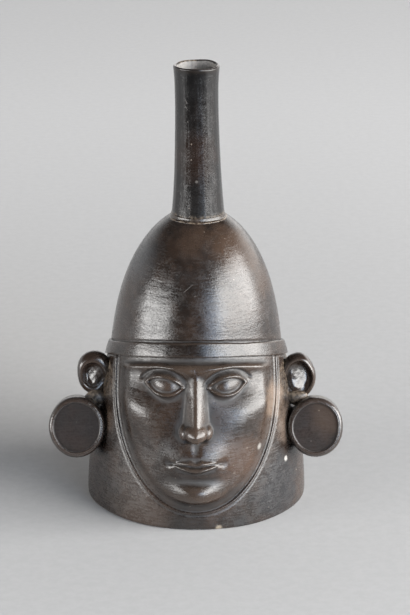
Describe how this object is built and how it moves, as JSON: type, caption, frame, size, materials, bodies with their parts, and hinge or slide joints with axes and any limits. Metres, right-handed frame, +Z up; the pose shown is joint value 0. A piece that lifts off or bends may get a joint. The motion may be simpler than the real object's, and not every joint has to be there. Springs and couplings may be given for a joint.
{
  "type": "head-shaped vessel",
  "caption": "Free-standing hollow ceramic bottle shaped as a human head in a tall domed cap, with a headband, ears, round ear spools and a tubular spout rising from the crown.",
  "frame": {"origin": "centre of the flat base, on the surface that the vessel stands on", "axes": "+Z up along the spout, face towards -Y, the vessel's own left ear towards +X"},
  "size_m": [0.1662, 0.1383, 0.25],
  "materials": {
    "burnished_clay": "burnished reduction-fired blackware, semi-gloss, with brown and grey fire clouds",
    "spout_clay": "burnished blackware, semi-gloss",
    "spool_clay": "smoothed blackware, matt on the face of the spool",
    "raw_clay": "unburnished fired clay, matt"
  },
  "bodies": {
    "root": {"base_slab": "raw_clay", "head_front": "burnished_clay", "head_back": "burnished_clay", "cap_dome": "burnished_clay", "headband": "burnished_clay", "hood_edge_roll": "burnished_clay", "spout": "spout_clay", "spout_seam_coil": "burnished_clay", "ear_left": "burnished_clay", "ear_right": "burnished_clay", "ear_spool_left": "spool_clay", "ear_spool_right": "spool_clay", "luting_pad_left": "raw_clay", "luting_pad_right": "raw_clay", "side_seam_coil_left": "raw_clay", "side_seam_coil_right": "raw_clay", "base_seam_coil": "raw_clay", "crown_seam_coil": "raw_clay"}
  },
  "joints": []
}
